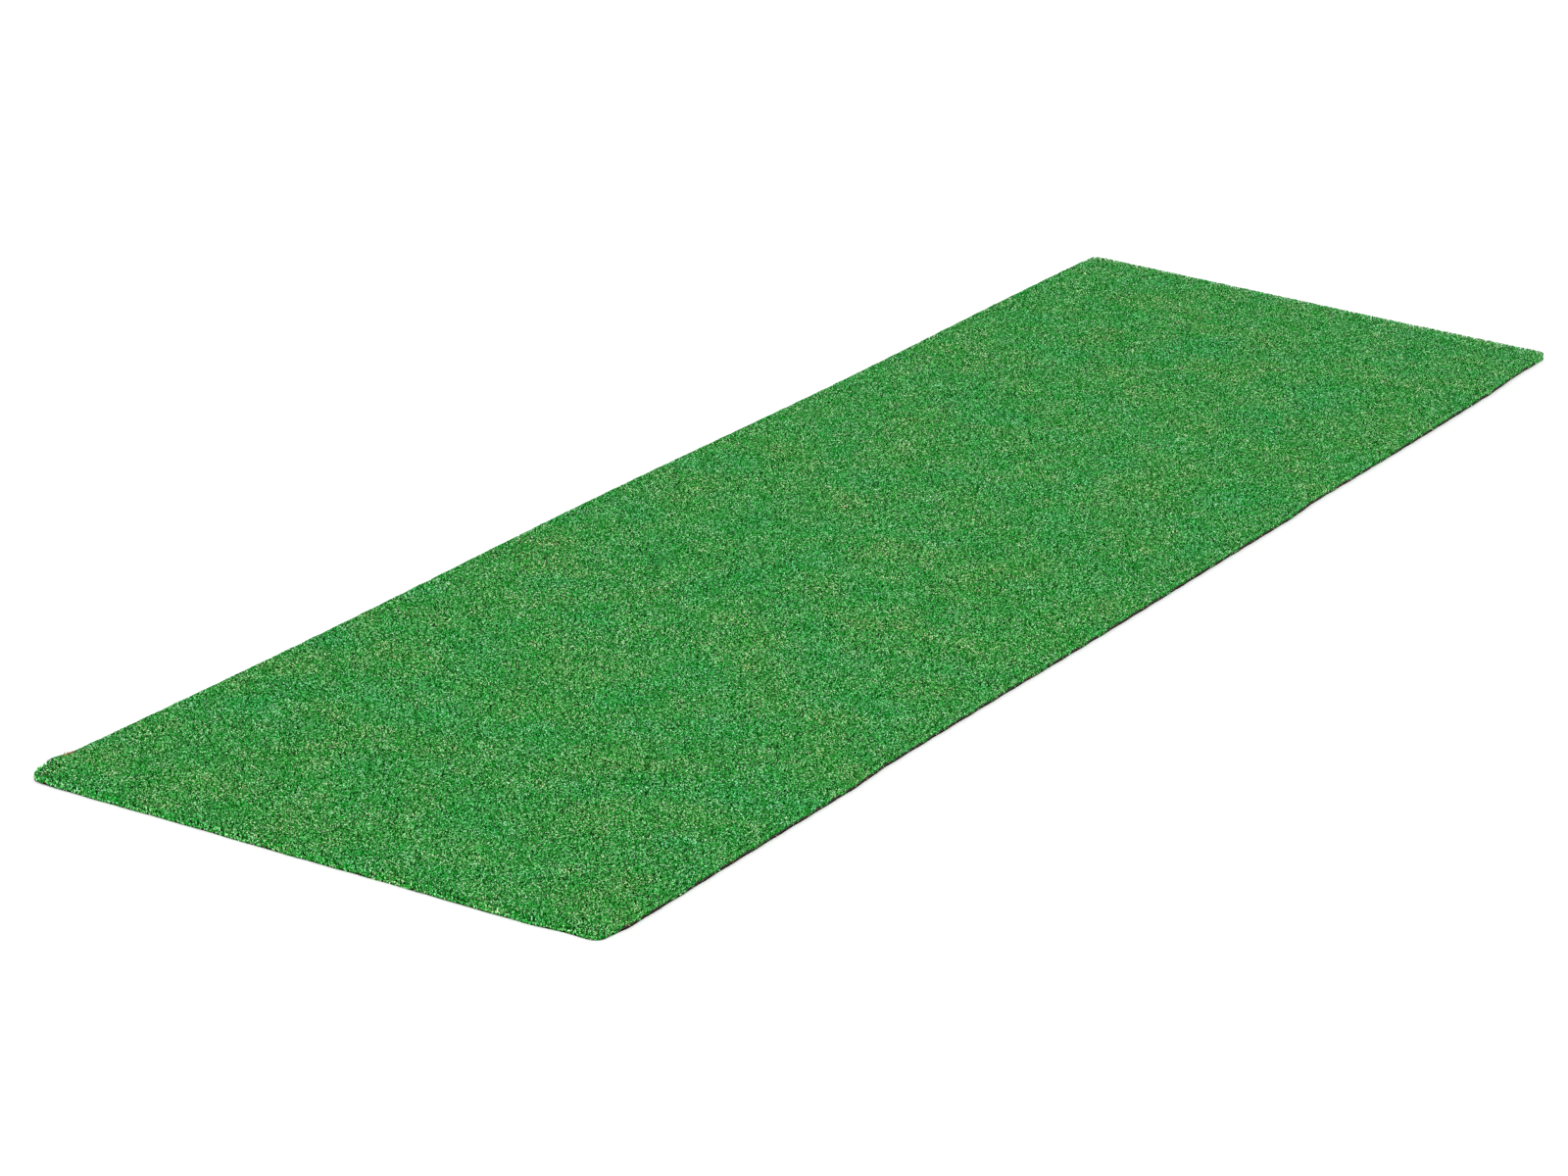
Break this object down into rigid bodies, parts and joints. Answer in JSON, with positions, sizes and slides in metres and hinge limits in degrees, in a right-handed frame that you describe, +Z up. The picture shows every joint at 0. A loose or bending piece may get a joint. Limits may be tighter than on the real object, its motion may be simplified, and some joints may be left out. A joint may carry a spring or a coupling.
{
  "type": "golf hitting mat",
  "caption": "Long flat rectangular golf mat of green artificial turf on a thin foam rubber base, laid flat to stand on and hit from.",
  "frame": {"origin": "centre of the underside, on the floor", "axes": "+Z up, +Y along the long side, +X across the short side"},
  "size_m": [0.9144, 3.3528, 0.0125],
  "materials": {
    "foam_rubber": "black closed cell foam rubber, matt, with a knife cut edge",
    "latex": "dark brown dried latex, matt, rough",
    "woven_backing": "dark woven flat tape fabric, low sheen",
    "turf_yarn": "mid green curled synthetic yarn, matt, with dark gaps between tufts"
  },
  "bodies": {
    "root": {"foam_base": "foam_rubber", "latex_coat": "latex", "primary_backing": "woven_backing", "turf_pile": "turf_yarn"}
  },
  "joints": []
}
